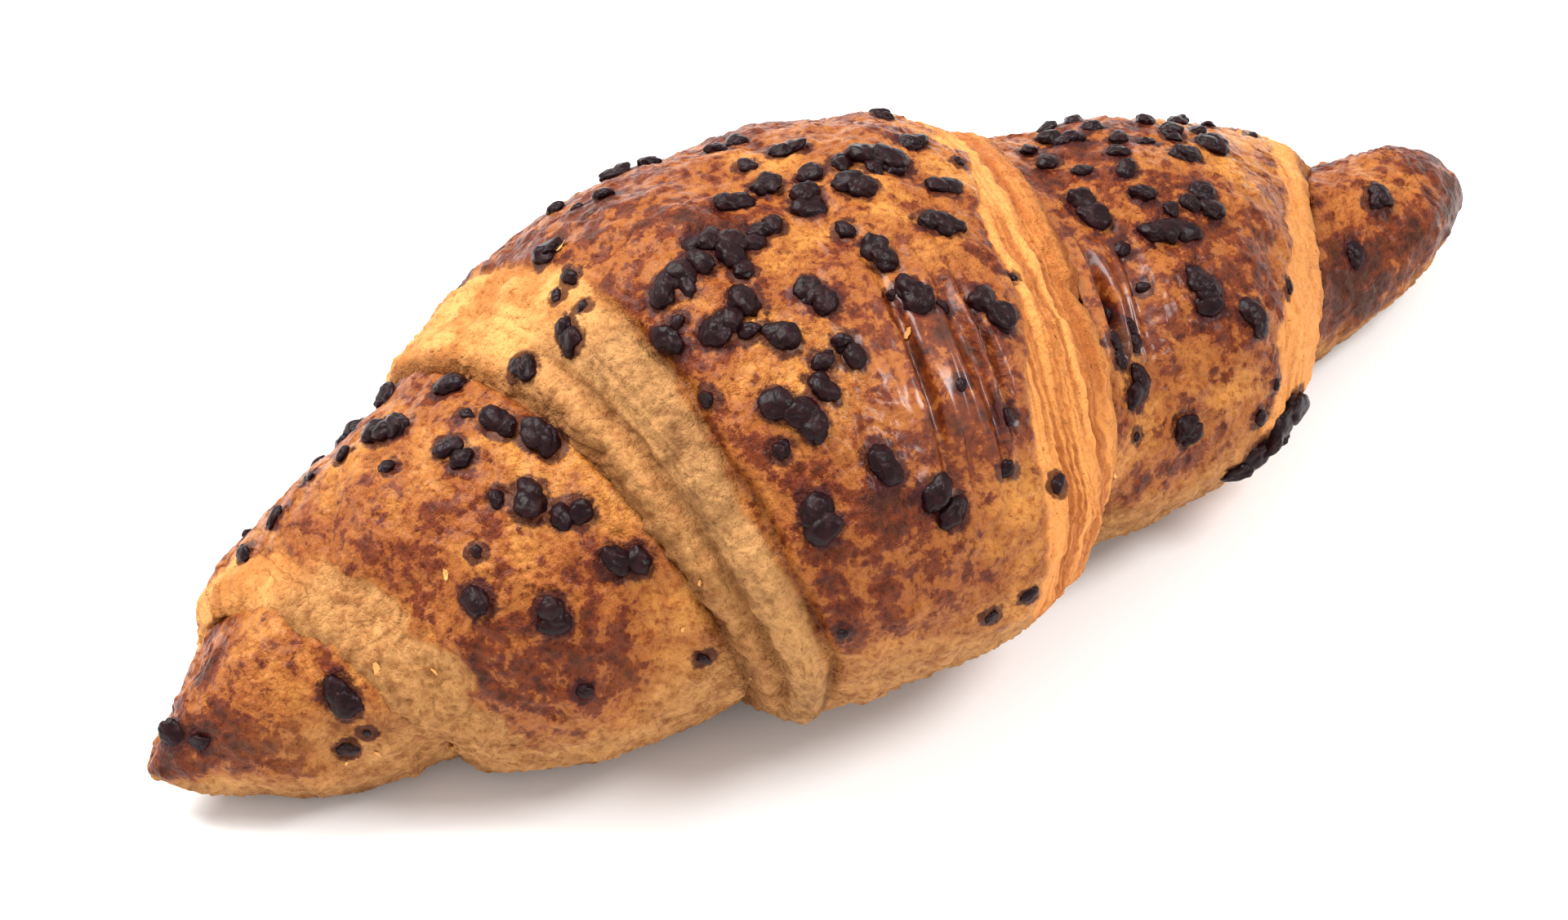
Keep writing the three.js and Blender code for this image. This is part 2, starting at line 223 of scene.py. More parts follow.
# sizes and heights of the relief; three numbers are across, along and height
relief = {
    "lump": (17, 0.8), "blister": (5.5, 0.6), "pimple": (1.9, 0.26), "grain": (0.8, 0.1),
    "wallRidge": (0.68, 0.22, 1.2), "lowRidge": (0.17, 0.12, 0.6), "wallGroove": (0.75, 1.4),
    "lowGroove": (0.6, 0.9), "lowGrooveShare": 0.34,
    "wallWrinkle": (0.8, 10, 0.3), "wallFold": (2.2, 16, 0.5), "crossWrinkle": (3.5, 0.9, 0.34),
    "stripe": (1.0, 20, 0.14), "fineStripe": (0.42, 12, 0.12), "bareStripe": 0.5,
    "glazeStep": 0.35, "knobs": (2.7, 0.5), "folds": (2.8, 32, 2.3), "foldSmooth": 0.95,
    "foldPlaces": [("outer", (-5, 8), (38, 22)), ("rightSecond", (24, 6), (30, 18))],
    "collars": {"secondLeft": (2.6, 9.0), "outerLeft": (0.9, 3.0), "outerRight": (1.8, 5.0),
                "secondRight": (0.5, 3.5)},
    "collarFront": 1.6, "collarFade": (100, 55), "hornCap": (83, 6, 1.4),
    "hornTrim": ((-79, 9), (-50, 45), 2.4),
    "flakes": (7, 3.5, 0.3), "soleFade": (0.0, 1.2),
    "creaseBite": {"secondLeft": 0.12, "outerLeft": 0.7, "outerRight": 0.42, "secondRight": 0.7},
    "creaseShade": {"secondLeft": 0.25, "outerLeft": 1, "outerRight": 1, "secondRight": 1},
    "creaseBiteRun": 0.8, "creaseLine": (0.2, 1.0), "grooveShades": (0.9, 0.7),
    "girth": 24, "streakDepth": 5, "knobLevel": 0.35, "knobsFrom": (25, 60), "ridgeFrom": (-50, 0),
    "foldLevel": (0.5, 2.6), "flakeStretch": (1.0, 0.6, 0.6), "flakeEdge": (0.0, 0.12),
    "hornCapFade": (120, 40),
}


def stationsAt(deg, share):
    stops = [np.full_like(deg, -roll["leftReach"]), creaseAt("secondLeft", deg), creaseAt("outerLeft", deg),
             np.zeros_like(deg), creaseAt("outerRight", deg), creaseAt("secondRight", deg),
             np.full_like(deg, roll["rightReach"])]
    rows = []
    for span, count in enumerate(crustGrid["stations"]):
        count = int(count * share)
        for i in range(1 if span == 0 else 0, count):
            t = i / count
            if crustGrid["crowdStart"][span]:
                t = t ** crustGrid["crowding"]
            else:
                t = 1 - (1 - t) ** crustGrid["crowding"]
            rows.append(stops[span] + (stops[span + 1] - stops[span]) * t)
    return np.array(rows)


def gridNormals(points):
    along = np.gradient(points, axis=0)
    around = np.roll(points, -1, 1) - np.roll(points, 1, 1)
    normals = np.cross(around, along)
    return normals / np.maximum(np.linalg.norm(normals, axis=-1, keepdims=True), 1e-9)


def spread(value, place):
    return 1 if place is None else hump(value, *place)


def crustPlaces(x, deg, points):
    # where every point is: how far past each crease, on which layer, in which band
    a = foldedAngle(deg)
    past = {"secondLeft": x - creaseAt("secondLeft", deg), "outerLeft": x - creaseAt("outerLeft", deg),
            "outerRight": creaseAt("outerRight", deg) - x, "secondRight": creaseAt("secondRight", deg) - x}
    width = {name: np.interp(a, bands["angles"], bands[name]) for name in bands if name != "angles"}
    on = {"outer": (past["outerLeft"] > 0) & (past["outerRight"] > 0),
          "leftSecond": (past["secondLeft"] > 0) & (past["outerLeft"] <= 0),
          "rightSecond": (past["secondRight"] > 0) & (past["outerRight"] <= 0),
          "leftHorn": past["secondLeft"] <= 0, "rightHorn": past["secondRight"] <= 0}
    wobble = sum(layeredNoise(points, edges[name][0], seeds[name]) * edges[name][1]
                 for name in ("wobble", "fineWobble"))
    return {"x": x, "a": a, "side": np.abs((deg + 180) % 360 - 180), "past": past, "width": width,
            "on": on, "wobble": wobble, "points": points, "arc": np.radians(a) * relief["girth"]}


def streaks(at, crease, size, seed):
    # noise drawn out along a crease
    across, along = size[:2]
    ragged = at["wobble"] * edges["streakRagged"]
    line = np.stack([at["past"][crease] + ragged, at["arc"], at["x"] * 0 + seed], -1)
    return layeredNoise(line, (across, along, relief["streakDepth"]), seed, 2)


def crustMasks(at):
    # masks from 0 to 1 that the crust's finish reads
    x, a, past, on, width, wobble = (at[name] for name in ("x", "a", "past", "on", "width", "wobble"))
    loose = wobble * edges["bandRagged"]
    inBand = lambda name, end: 1 - ease(*edges[end], (past[name] + loose) / width[name])
    wallShare = past["outerLeft"] / width["leftWall"]
    wall = on["outer"] * (1 - ease(*edges["wallEnd"], wallShare + wobble * edges["wallRagged"]))
    rightBand = on["outer"] * inBand("outerRight", "bandEnd")
    farBand = on["rightSecond"] * inBand("secondRight", "farBandEnd")
    leftRim = on["leftSecond"] * inBand("secondLeft", "rimEnd")
    ragged = wobble * edges["lowRagged"]
    low = ease(*edges["low"], at["side"] + ragged)
    paleSecond = ease(*edges["paleLow"], a + ragged) * ease(*edges["paleBeside"], past["outerLeft"])
    paleSecond = on["leftSecond"] * paleSecond
    paleHorn = ease(*edges["hornLow"], a + ragged) * ease(*edges["hornBeside"], past["secondLeft"])
    paleHorn = on["leftHorn"] * paleHorn
    bare = np.maximum.reduce([wall, leftRim, low, paleSecond, paleHorn * edges["hornPale"]])
    fibre = np.maximum(rightBand, farBand * edges["farBand"])
    glaze = (1 - bare) * (1 - fibre)

    patchSize, patchTall = browning["patch"]
    deep = browning["base"] + patchTall * layeredNoise(at["points"], patchSize, seeds["patch"])
    for layer, amount, along, around in browning["spots"]:
        deep = deep + amount * on[layer] * spread(x, along) * spread(a, around)
    edgeAt, edgeRun, edgeAmount = browning["wallEdge"]
    besideWall = hump(past["outerLeft"] - width["leftWall"], edgeAt, edgeRun)
    besideWall = besideWall * ease(*browning["wallEdgeFrom"], a)
    deep = deep + on["outer"] * edgeAmount * besideWall
    farFrom, farTo, farAmount = browning["farSide"]
    deep = deep + farAmount * ease(farFrom, farTo, a) * (on["outer"] | on["leftSecond"] | on["rightSecond"])
    deep = deep * (1 - (1 - browning["lowKeeps"]) * low)

    folds = sum(on[layer] * spread(x, along) * spread(a, around)
                for layer, along, around in relief["foldPlaces"])
    seen = ease(*edges["wallSeen"], a) * (1 - ease(*edges["wallHides"], a))
    share = relief["lowGrooveShare"]
    ragged = wobble * edges["grooveRagged"]
    groove = hump(past["outerLeft"] - width["leftWall"], ragged, relief["wallGroove"][0]) * seen
    lowAt, ragged = past["outerLeft"] - share * width["leftWall"], wobble * edges["lowGrooveRagged"]
    lowGroove = hump(lowAt, ragged, relief["lowGroove"][0]) * seen
    # painted shade: darker colour along each crease line and in the wall's two grooves, where shade falls
    crease = sum(relief["creaseShade"][name] * hump(past[name], *relief["creaseLine"]) for name in past)
    grooveShade, lowGrooveShade = relief["grooveShades"]
    crease = crease + on["outer"] * (groove * grooveShade + lowGroove * lowGrooveShade)
    toneFrom, toneTo = edges["wallTone"]
    upperRagged = wobble * edges["upperRagged"]
    at.update(wallShare=wallShare, wholeWall=wall, bare=bare, leftRim=leftRim, folds=folds, seen=seen,
              groove=groove, lowGroove=lowGroove)
    return {
        "glaze": glaze, "deep": np.clip(deep, 0, 1), "fibre": fibre,
        "wall": wall * ease(share + toneFrom, share + toneTo, wallShare),
        "low": low, "crease": np.clip(crease, 0, 1), "upper": 1 - ease(*edges["upper"], a + upperRagged),
        # darker towards the table: partly browning from the tray, partly painted shade near the table
        "stripeTone": stripeTone(at, farBand), "sole": ease(*edges["sole"], at["points"][..., 2]),
        "gloss": np.clip(glaze * (edges["gloss"] + folds), 0, 1),
    }


def stripes(at):
    return sum(relief[name][2] * streaks(at, "outerRight", relief[name], seeds[name])
               for name in ("stripe", "fineStripe"))


def stripeTone(at, farBand):
    tallest = relief["stripe"][2] + relief["fineStripe"][2]
    return np.clip(0.5 + 0.5 * stripes(at) / tallest + 0.25 * farBand, 0, 1)


def crustHeight(at, masks):
    # how far the crust stands out from the smooth roll
    a, past, on, points, folds = (at[name] for name in ("a", "past", "on", "points", "folds"))
    height = layeredNoise(points, relief["lump"][0], seeds["lump"], 2) * relief["lump"][1]
    calm = 1 - relief["foldSmooth"] * np.clip(folds, 0, 1)
    size, tall = relief["blister"]
    height = height + layeredNoise(points, size, seeds["blister"]) * tall * calm
    for name in ("pimple", "grain"):
        size, tall = relief[name]
        height = height + layeredNoise(points, size, seeds[name], 2) * tall * calm
    size, tall = relief["knobs"]
    knobs = relief["knobLevel"] - np.abs(layeredNoise(points, size, seeds["knobs"], 2))
    height = height + tall * knobs * on["leftSecond"] * ease(*relief["knobsFrom"], a)

    # the pale side wall: a rounded ridge, a groove along the glaze's edge, wrinkles along it
    middle, reach, tall = relief["wallRidge"]
    ridge = hump(at["wallShare"], middle, reach) * ease(*relief["ridgeFrom"], a)
    height = height + on["outer"] * tall * ridge
    middle, reach, tall = relief["lowRidge"]
    height = height + on["outer"] * tall * hump(at["wallShare"], middle, reach) * at["seen"]
    grooves = relief["wallGroove"][1] * at["groove"] + relief["lowGroove"][1] * at["lowGroove"]
    height = height - on["outer"] * grooves
    across, gap, tall = relief["crossWrinkle"]
    line = np.stack([past["outerLeft"], at["arc"], at["x"] * 0], -1)
    wrinkles = tall * layeredNoise(line, (across, gap, relief["streakDepth"]), seeds["crossWrinkle"], 2)
    for name in ("wallWrinkle", "wallFold"):
        wrinkles = wrinkles + relief[name][2] * streaks(at, "outerLeft", relief[name], seeds[name])
    height = height + at["wholeWall"] * wrinkles
    striped = relief["bareStripe"] * at["bare"] * (1 - at["wholeWall"])
    striped = striped + np.maximum(masks["fibre"], at["leftRim"])
    height = height + striped * stripes(at)
    creased = streaks(at, "outerRight", relief["folds"], seeds["folds"])
    level, sharpness = relief["foldLevel"]
    height = height + relief["folds"][2] * folds * (level - creased ** 2 * sharpness)
    flakeSize, flakeSteps, flakeTall = relief["flakes"]
    stretched = points * np.array(relief["flakeStretch"])
    leaf = layeredNoise(stretched, flakeSize, seeds["flakes"]) * flakeSteps + 50
    leaf = leaf - np.floor(leaf)
    papery = 0.5 + 0.5 * np.maximum(at["bare"], 1 - masks["deep"])
    height = height + flakeTall * (1 - leaf) * ease(*relief["flakeEdge"], leaf) * papery * calm
    height = height + masks["glaze"] * relief["glazeStep"]

    # soften each crease on its lower side, then cut its line
    for name, (tall, reach) in relief["collars"].items():
        beyond = np.where(past[name] < 0, past[name] / reach, past[name] / relief["collarFront"])
        height = height + tall * np.exp(-beyond ** 2) * ease(*relief["collarFade"], at["side"])
        height = height - relief["creaseBite"][name] * hump(past[name], 0, relief["creaseBiteRun"])
    capAt, capRun, capTall = relief["hornCap"]
    height = height + capTall * hump(at["x"], capAt, capRun) * ease(*relief["hornCapFade"], at["side"])
    trimAlong, trimAround, trim = relief["hornTrim"]
    height = height - trim * on["leftHorn"] * hump(at["x"], *trimAlong) * hump(a, *trimAround)
    return height * ease(*relief["soleFade"], points[..., 2])


def buildCrust():
    share = 1
    around = int(crustGrid["around"] * share)
    degrees = np.arange(around) * 360 / around - 180
    x = stationsAt(degrees, share)
    deg = np.broadcast_to(degrees, x.shape)
    smooth = crustPoints(x, deg)
    normals = gridNormals(smooth)
    at = crustPlaces(x, deg, smooth)
    masks = crustMasks(at)
    height = crustHeight(at, masks)
    points = smooth + normals * height[..., None]
    points[..., 2] = np.maximum(points[..., 2], 0)
    poles = [crustPoints(np.array([end]), np.array([0.0]))[0]
             for end in (-roll["leftReach"], roll["rightReach"])]
    return x, deg, smooth, normals, points, masks, poles


def shiftToFrame(smooth):
    # the frame is centred on the part's own box, so the roll is moved to match
    low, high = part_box("croissant")
    middle = (np.array(low) + np.array(high)) / 2 / mm
    own = (smooth.reshape(-1, 3).min(0) + smooth.reshape(-1, 3).max(0)) / 2
    return np.array([middle[0] - own[0], middle[1] - own[1], 0])


def meshFrom(name, points, faces, corners):
    mesh = bpy.data.meshes.new(name)
    mesh.vertices.add(len(points))
    mesh.vertices.foreach_set("co", np.asarray(points, np.float32).ravel())
    mesh.loops.add(len(corners))
    mesh.loops.foreach_set("vertex_index", np.asarray(corners, np.int32))
    mesh.polygons.add(len(faces))
    mesh.polygons.foreach_set("loop_start", np.asarray(faces, np.int32))
    mesh.update(calc_edges=True)
    mesh.validate()
    mesh.polygons.foreach_set("use_smooth", np.ones(len(mesh.polygons), bool))
    return mesh


def crustObject(x, points, masks, poles, shift):
    rows, around = x.shape
    flat = (points.reshape(-1, 3) + shift) * mm
    ends = (np.array(poles) + shift) * mm
    i, k = np.meshgrid(np.arange(rows - 1), np.arange(around), indexing="ij")
    following = (k + 1) % around
    quads = np.stack([i * around + k, i * around + following,
                      (i + 1) * around + following, (i + 1) * around + k], -1).reshape(-1, 4)
    u = np.stack([i, i, i + 1, i + 1], -1).reshape(-1, 4) / (rows - 1)
    v = np.stack([k, k + 1, k + 1, k], -1).reshape(-1, 4) / around
    ring = np.arange(around)
    nextRing = (ring + 1) % around
    last = (rows - 1) * around
    left = np.stack([np.full(around, rows * around), nextRing, ring], -1)
    right = np.stack([np.full(around, rows * around + 1), last + ring, last + nextRing], -1)
    corners = np.concatenate([quads.ravel(), left.ravel(), right.ravel()])
    starts = np.concatenate([np.arange(len(quads)) * 4, len(quads) * 4 + np.arange(2 * around) * 3])
    mesh = meshFrom("crust", np.concatenate([flat, ends]), starts, corners)
    leftUv = np.stack([ring + 0.5, ring + 1, ring], -1).ravel() / around
    rightUv = np.stack([ring + 0.5, ring, ring + 1], -1).ravel() / around
    uv = np.zeros((len(corners), 2))
    tip, tail = crustGrid["tipUv"], len(quads) * 4
    uv[:tail, 0] = tip + (1 - 2 * tip) * u.ravel()
    uv[:tail, 1] = v.ravel()
    uv[tail:tail + 3 * around, 0] = np.tile([0.0, tip, tip], around)
    uv[tail:tail + 3 * around, 1] = leftUv
    uv[tail + 3 * around:, 0] = np.tile([1.0, 1 - tip, 1 - tip], around)
    uv[tail + 3 * around:, 1] = rightUv
    layer = mesh.uv_layers.new(name="OFBake")
    layer.data.foreach_set("uv", uv.astype(np.float32).ravel())
    for name, values in masks.items():
        attribute = mesh.attributes.new(name, "FLOAT", "POINT")
        whole = np.concatenate([values.ravel(), [values[0].mean(), values[-1].mean()]])
        attribute.data.foreach_set("value", whole.astype(np.float32))
    piece = bpy.data.objects.new("crust", mesh)
    bpy.context.scene.collection.objects.link(piece)
    return piece


granuleLook = {
    "fineness": 4, "lumps": (0.45, 0.26), "pits": (0.17, 0.1), "flatness": 0.64, "proud": 0.05,
    "share": 0.9, "crowding": 1.3, "widest": 3.7, "stagger": 0.5, "nearness": 0.85,
    "sizes": (0.88, 0.24), "stretch": 0.22, "most": 4, "variety": 0.37,
    # reach and edge of the dark ring round each piece, partly stain and partly painted shade
    "stainAndShadeReach": 0.9, "stainAndShadeEdge": (0.7, 1.3), "crumbStretch": 0.3,
}

# crumbs that are no pieces of their own: where along the roll, the angle round it, width
crumbs = [
    (-47.5, -12, 1.6), (-50.3, 17, 1.9), (-57, -13, 2), (-58.5, -34, 2), (-61.8, -40, 1.5), (-66.5, -39, 2),
    (-67.5, -70, 1.3), (-54.6, 27, 1.3), (-71.3, 76, 2), (-68.5, 65, 1), (-84.5, 43, 2), (-33.7, -17, 1.4),
    (-32.7, -9, 1.6), (-31.3, -18.6, 1.9), (-24.8, -50, 2.2), (-24.5, -40, 1.2), (-7.2, -38, 2.2),
    (-7, -25, 2), (-4.7, 2.4, 2.2), (-27, 7, 1.7), (-16.3, 27, 2.2), (-24.8, 39, 1.9), (-28.6, 23, 2),
    (-0.5, 49, 2.1), (-2.2, 59, 1.9), (-4.1, 40, 1.3), (-3, 90, 1.8), (-7.6, 93, 1.6), (3.1, 67, 1.9),
    (-24.8, 81, 1.2), (-4.8, 19, 1.3), (-1, 25, 1.5), (10, 22, 1), (14.2, -9.6, 1.2), (39, -20, 2.4),
    (41.5, -15, 1.8), (35.2, -4, 2.3), (56, -36, 1.8), (28.3, 18, 2), (22.1, 33.5, 2), (28, 30, 1.4),
    (47.5, 46.7, 1.6), (40, 76, 1.4), (37.2, 86, 1.9), (62, -38, 1.4), (19.5, 70, 1), (-58.5, -62, 2.3),
    (-70.3, -50, 2.2), (-21.6, -38, 2.3), (-12, -54, 2.2), (-4, -39.5, 2.6), (-2.6, -14.5, 2.6),
    (28.6, -18.5, 2.6), (35, -43.5, 2.4), (38, -42, 2.4), (52, -38.5, 2.5), (34.6, 6.5, 2.4),
    (15.4, -42, 2.5), (-49.6, 79, 1.7), (-36.5, 82, 1.5),
    (-21, -1, 2.9), (-20.5, -5.5, 2.6), (-24, 2.5, 2.4), (-14.8, -1.5, 2.5), (-18, 4, 2.4), (-21.5, 16, 2.5),
    (1, -13.5, 2.6), (6.2, -9, 2.6), (3.4, -9.5, 2.4), (36.5, 14, 2.3), (39.4, 14.5, 2.4), (33, -33, 2.6),
    (45, -29, 2.5), (38, -30, 2.4), (28.5, -27, 2.5), (36.5, -11, 2.3), (31, -9.5, 2.2), (50, -18, 2.3),
    (44.5, 95, 4.4), (42, 98, 4.6), (39.4, 101, 4.6), (36.8, 104, 4.2), (34.6, 107, 3.4),
]


def crustTree(points, shift):
    # a coarse copy of the crust to seat things on
    step = 2
    part = points[::step, ::step]
    rows, around = part.shape[:2]
    vertices = ((part.reshape(-1, 3) + shift) * mm).tolist()
    faces = []
    for i in range(rows - 1):
        for k in range(around):
            n = (k + 1) % around
            faces.append((i * around + k, i * around + n, (i + 1) * around + n, (i + 1) * around + k))
    return BVHTree.FromPolygons(vertices, faces)


def lumpyDrop(seed):
    # one melted drop of unit width, flat side down
    bm = bmesh.new()
    bmesh.ops.create_icosphere(bm, subdivisions=granuleLook["fineness"], radius=0.5)
    co = np.array([v.co for v in bm.verts])
    faces = [tuple(v.index for v in f.verts) for f in bm.faces]
    bm.free()
    for kind in ("lumps", "pits"):
        size, tall = granuleLook[kind]
        co = co * (1 + tall * softNoise(co + seed * granuleLook["variety"], size, seeds["drops"])[:, None])
    co[:, 2] *= granuleLook["flatness"]
    return co, faces


def seatedDrop(middle, across, stretch, turn, tree, seed):
    # a drop pressed into the crust at the nearest place to middle
    hit, normal, _, _ = tree.find_nearest(Vector(middle))
    up = np.array(normal)
    side = np.cross(up, (0.3, 0.9, 0.1))
    side /= np.linalg.norm(side)
    forward = np.cross(up, side)
    co, faces = lumpyDrop(seed)
    p, q = co[:, 0] * stretch, co[:, 1] / stretch ** 0.5
    c, s = math.cos(turn), math.sin(turn)
    p, q = p * c - q * s, p * s + q * c
    tall = co[:, 2] + granuleLook["proud"]
    world = np.array(hit) + across * (p[:, None] * side + q[:, None] * forward + tall[:, None] * up)
    return world, faces, np.array(hit), across / 2


def dropsOf(node, tree, seed):
    # the frame's granule as the row of drops that melted together to make it
    co = np.array([v.co for v in node.data.vertices])
    middle = co.mean(0)
    _, normal, _, _ = tree.find_nearest(Vector(middle))
    up = np.array(normal)
    flat = co - middle
    flat = flat - np.outer(flat @ up, up)
    _, _, axes = np.linalg.svd(flat, full_matrices=False)
    reach = [(flat @ axis).max() - (flat @ axis).min() for axis in axes[:2]]
    length, wide = reach[0], min(reach[1], granuleLook["widest"] * mm)
    count = int(np.clip(round(length / wide * granuleLook["crowding"]), 1, granuleLook["most"]))
    dice = np.random.default_rng(seed)
    across = wide * granuleLook["share"]
    drops = []
    for i in range(count):
        along = 0 if count == 1 else (i / (count - 1) - 0.5) * (length - wide) * granuleLook["nearness"]
        aside = (dice.random() - 0.5) * granuleLook["stagger"] * wide * (count > 2)
        place = middle + axes[0] * along + axes[1] * aside
        own = across * (granuleLook["sizes"][0] + granuleLook["sizes"][1] * dice.random())
        stretch, turn = 1 + granuleLook["stretch"] * dice.random(), dice.random() * math.pi
        drops.append(seatedDrop(place, own, stretch, turn, tree, seed * 5 + i))
    return drops


def joinedPiece(name, parts):
    vertices, faces, offset = [], [], 0
    for co, own in parts:
        vertices.append(co)
        faces.extend(tuple(v + offset for v in f) for f in own)
        offset += len(co)
    mesh = bpy.data.meshes.new(name)
    mesh.from_pydata(np.concatenate(vertices).tolist(), [], faces)
    mesh.polygons.foreach_set("use_smooth", np.ones(len(mesh.polygons), bool))
    piece = bpy.data.objects.new(name, mesh)
    bpy.context.scene.collection.objects.link(piece)
    return piece


# thin loose scraps of crust; thickness and size in millimetres
flakeLook = {
    "count": 26, "size": (0.5, 1.9), "curl": 0.4, "thickness": 0.07, "cells": 6, "ragged": 0.3, "seed": 17,
    "angles": (-100, 100), "nearCrease": 0.4, "creaseSpread": 2.5, "lean": 0.25, "span": (-76, 60),
    "creases": ("secondLeft", "outerLeft", "outerLeft", "outerRight"), "gap": 0.1, "turn": 0.6,
    "rounding": 0.45, "long": (1.1, 0.6), "narrow": 0.6, "leastCurl": 0.4, "crumple": 0.08,
}


def leafOf(dice, across):
    # a thin curled scrap with a ragged outline, a top and an underside
    cells = flakeLook["cells"]
    line = np.linspace(-0.5, 0.5, cells)
    p, q = np.meshgrid(line, line, indexing="ij")
    rounded = 1 - flakeLook["rounding"] * (p ** 2 + q ** 2) / 0.5
    long, longer = flakeLook["long"]
    p, q = p * rounded * (long + longer * dice.random()), q * rounded * flakeLook["narrow"]
    rag = flakeLook["ragged"] * 0.5
    p, q = p + rag * (dice.random(p.shape) - 0.5), q + rag * (dice.random(q.shape) - 0.5)
    curl = flakeLook["curl"] * (flakeLook["leastCurl"] + dice.random())
    tall = curl * p ** 2 + flakeLook["crumple"] * dice.random(p.shape)
    top = np.stack([p, q, tall], -1).reshape(-1, 3) * across
    under = top - np.array([0, 0, flakeLook["thickness"] * mm])
    faces, back = [], cells * cells
    for i in range(cells - 1):
        for k in range(cells - 1):
            a = i * cells + k
            faces.append((a, a + cells, a + cells + 1, a + 1))
            faces.append((a + back, a + 1 + back, a + cells + 1 + back, a + cells + back))
    rim = [k * cells for k in range(cells)] + [(cells - 1) * cells + k for k in range(1, cells)] \
        + [k * cells + cells - 1 for k in range(cells - 2, -1, -1)] + list(range(cells - 2, 0, -1))
    for one, two in zip(rim, rim[1:] + rim[:1]):
        faces.append((two, one, one + back, two + back))
    return np.concatenate([top, under]), faces


def scatterFlakes(tree, shift):
    dice = np.random.default_rng(flakeLook["seed"])
    leaves = []
    names = flakeLook["creases"]
    for _ in range(flakeLook["count"]):
        angle = dice.uniform(*flakeLook["angles"])
        if dice.random() < flakeLook["nearCrease"]:
            name = names[dice.integers(len(names))]
            along = float(creaseAt(name, angle)) + dice.normal() * flakeLook["creaseSpread"]
        else:
            along = dice.uniform(*flakeLook["span"])
        here = (crustPoints(np.array([along]), np.array([angle]))[0] + shift) * mm
        hit, normal, _, _ = tree.find_nearest(Vector(here))
        across = dice.uniform(*flakeLook["size"]) * mm
        co, faces = leafOf(dice, across)
        up = np.array(normal) + (dice.random(3) - 0.5) * flakeLook["lean"]
        up /= np.linalg.norm(up)
        side = np.cross(up, (0.2, 0.1, 1.0))
        side /= np.linalg.norm(side)
        turn = dice.normal() * flakeLook["turn"] + math.pi / 2
        forward = np.cross(up, side)
        one = side * math.cos(turn) + forward * math.sin(turn)
        two = np.cross(up, one)
        lift = (co[:, 2] + flakeLook["gap"] * mm)[:, None] * up
        leaves.append((np.array(hit) + co[:, :1] * one + co[:, 1:2] * two + lift, faces))
    return leaves


class Nodes:
    # short names for the few node kinds that the finishes use
    def __init__(self, name):
        self.material = bpy.data.materials.new(name)
        self.material.use_nodes = True
        self.tree = self.material.node_tree
        self.shader = self.tree.nodes["Principled BSDF"]
        self.place = self.add("ShaderNodeTexCoord").outputs["Object"]

    def add(self, kind, **settings):
        node = self.tree.nodes.new(kind)
        for name, value in settings.items():
            setattr(node, name, value)
        return node

    def join(self, source, target):
        self.tree.links.new(source, target)

    def feed(self, socket, value):
        if isinstance(value, bpy.types.NodeSocket):
            self.join(value, socket)
        else:
            socket.default_value = value

    def mask(self, name):
        return self.add("ShaderNodeAttribute", attribute_name=name).outputs["Fac"]

    def noise(self, size, detail=3, roughness=0.55, distortion=0.0, stretch=None):
        node = self.add("ShaderNodeTexNoise")
        node.inputs["Scale"].default_value = 1 / (size * mm)
        node.inputs["Detail"].default_value = detail
        node.inputs["Roughness"].default_value = roughness
        node.inputs["Distortion"].default_value = distortion
        source = self.place
        if stretch:
            mapping = self.add("ShaderNodeMapping")
            mapping.inputs["Scale"].default_value = stretch
            self.join(self.place, mapping.inputs["Vector"])
            source = mapping.outputs["Vector"]
        self.join(source, node.inputs["Vector"])
        return node.outputs["Fac"]

    def cells(self, size, feature="F1"):
        node = self.add("ShaderNodeTexVoronoi", feature=feature)
        node.inputs["Scale"].default_value = 1 / (size * mm)
        self.join(self.place, node.inputs["Vector"])
        return node.outputs["Distance"]

    def sum(self, *values):
        total = values[0]
        for value in values[1:]:
            total = self.math("ADD", total, value)
        return total

    def math(self, operation, a, b=0.0):
        node = self.add("ShaderNodeMath", operation=operation)
        self.feed(node.inputs[0], a)
        self.feed(node.inputs[1], b)
        return node.outputs[0]

    def span(self, value, low, high, out0=0.0, out1=1.0):
        node = self.add("ShaderNodeMapRange", interpolation_type="SMOOTHSTEP")
        for socket, number in zip(node.inputs[1:5], (low, high, out0, out1)):
            socket.default_value = number
        self.join(value, node.inputs[0])
        return node.outputs[0]

    def blend(self, factor, first, second, kind="MIX"):
        node = self.add("ShaderNodeMix", data_type="RGBA", blend_type=kind)
        self.feed(node.inputs[0], factor)
        self.feed(node.inputs[6], first)
        self.feed(node.inputs[7], second)
        return node.outputs[2]

    def bump(self, height, distance, strength=1.0, base=None):
        node = self.add("ShaderNodeBump")
        self.feed(node.inputs["Strength"], strength)
        node.inputs["Distance"].default_value = distance * mm
        self.join(height, node.inputs["Height"])
        if base is not None:
            self.join(base, node.inputs["Normal"])
        return node.outputs["Normal"]


crustFinish = {
    "golden": paint(0.72, 0.475, 0.215), "goldenDark": paint(0.55, 0.315, 0.125),
    "amber": paint(0.53, 0.275, 0.10), "brown": paint(0.37, 0.13, 0.028),
    "brownDark": paint(0.18, 0.045, 0.014),
    "cream": paint(0.70, 0.51, 0.31), "creamShade": paint(0.45, 0.30, 0.17),
    "upperTone": paint(0.85, 0.60, 0.34), "upperShade": paint(0.70, 0.44, 0.21),
    "tan": paint(0.72, 0.52, 0.31), "tanDark": paint(0.52, 0.33, 0.17),
    "fibreLight": paint(0.83, 0.55, 0.29), "fibreDark": paint(0.60, 0.33, 0.14),
    # the crease colour is painted shade; the colour of the ring round each chocolate piece is partly stain,
    # partly painted shade
    "paintedCreaseShade": paint(0.36, 0.19, 0.08), "stainAndShade": paint(0.22, 0.06, 0.05),
    # the sole colour is partly tray browning, partly painted shade near the table
    "grainTone": paint(0.80, 0.66, 0.55), "soleBrownAndShade": paint(0.40, 0.25, 0.14),
    "glazeRoughness": (0.30, 0.50), "doughRoughness": 0.7, "specular": 0.12,
    "coat": 0.6, "coatRoughness": 0.22,
}


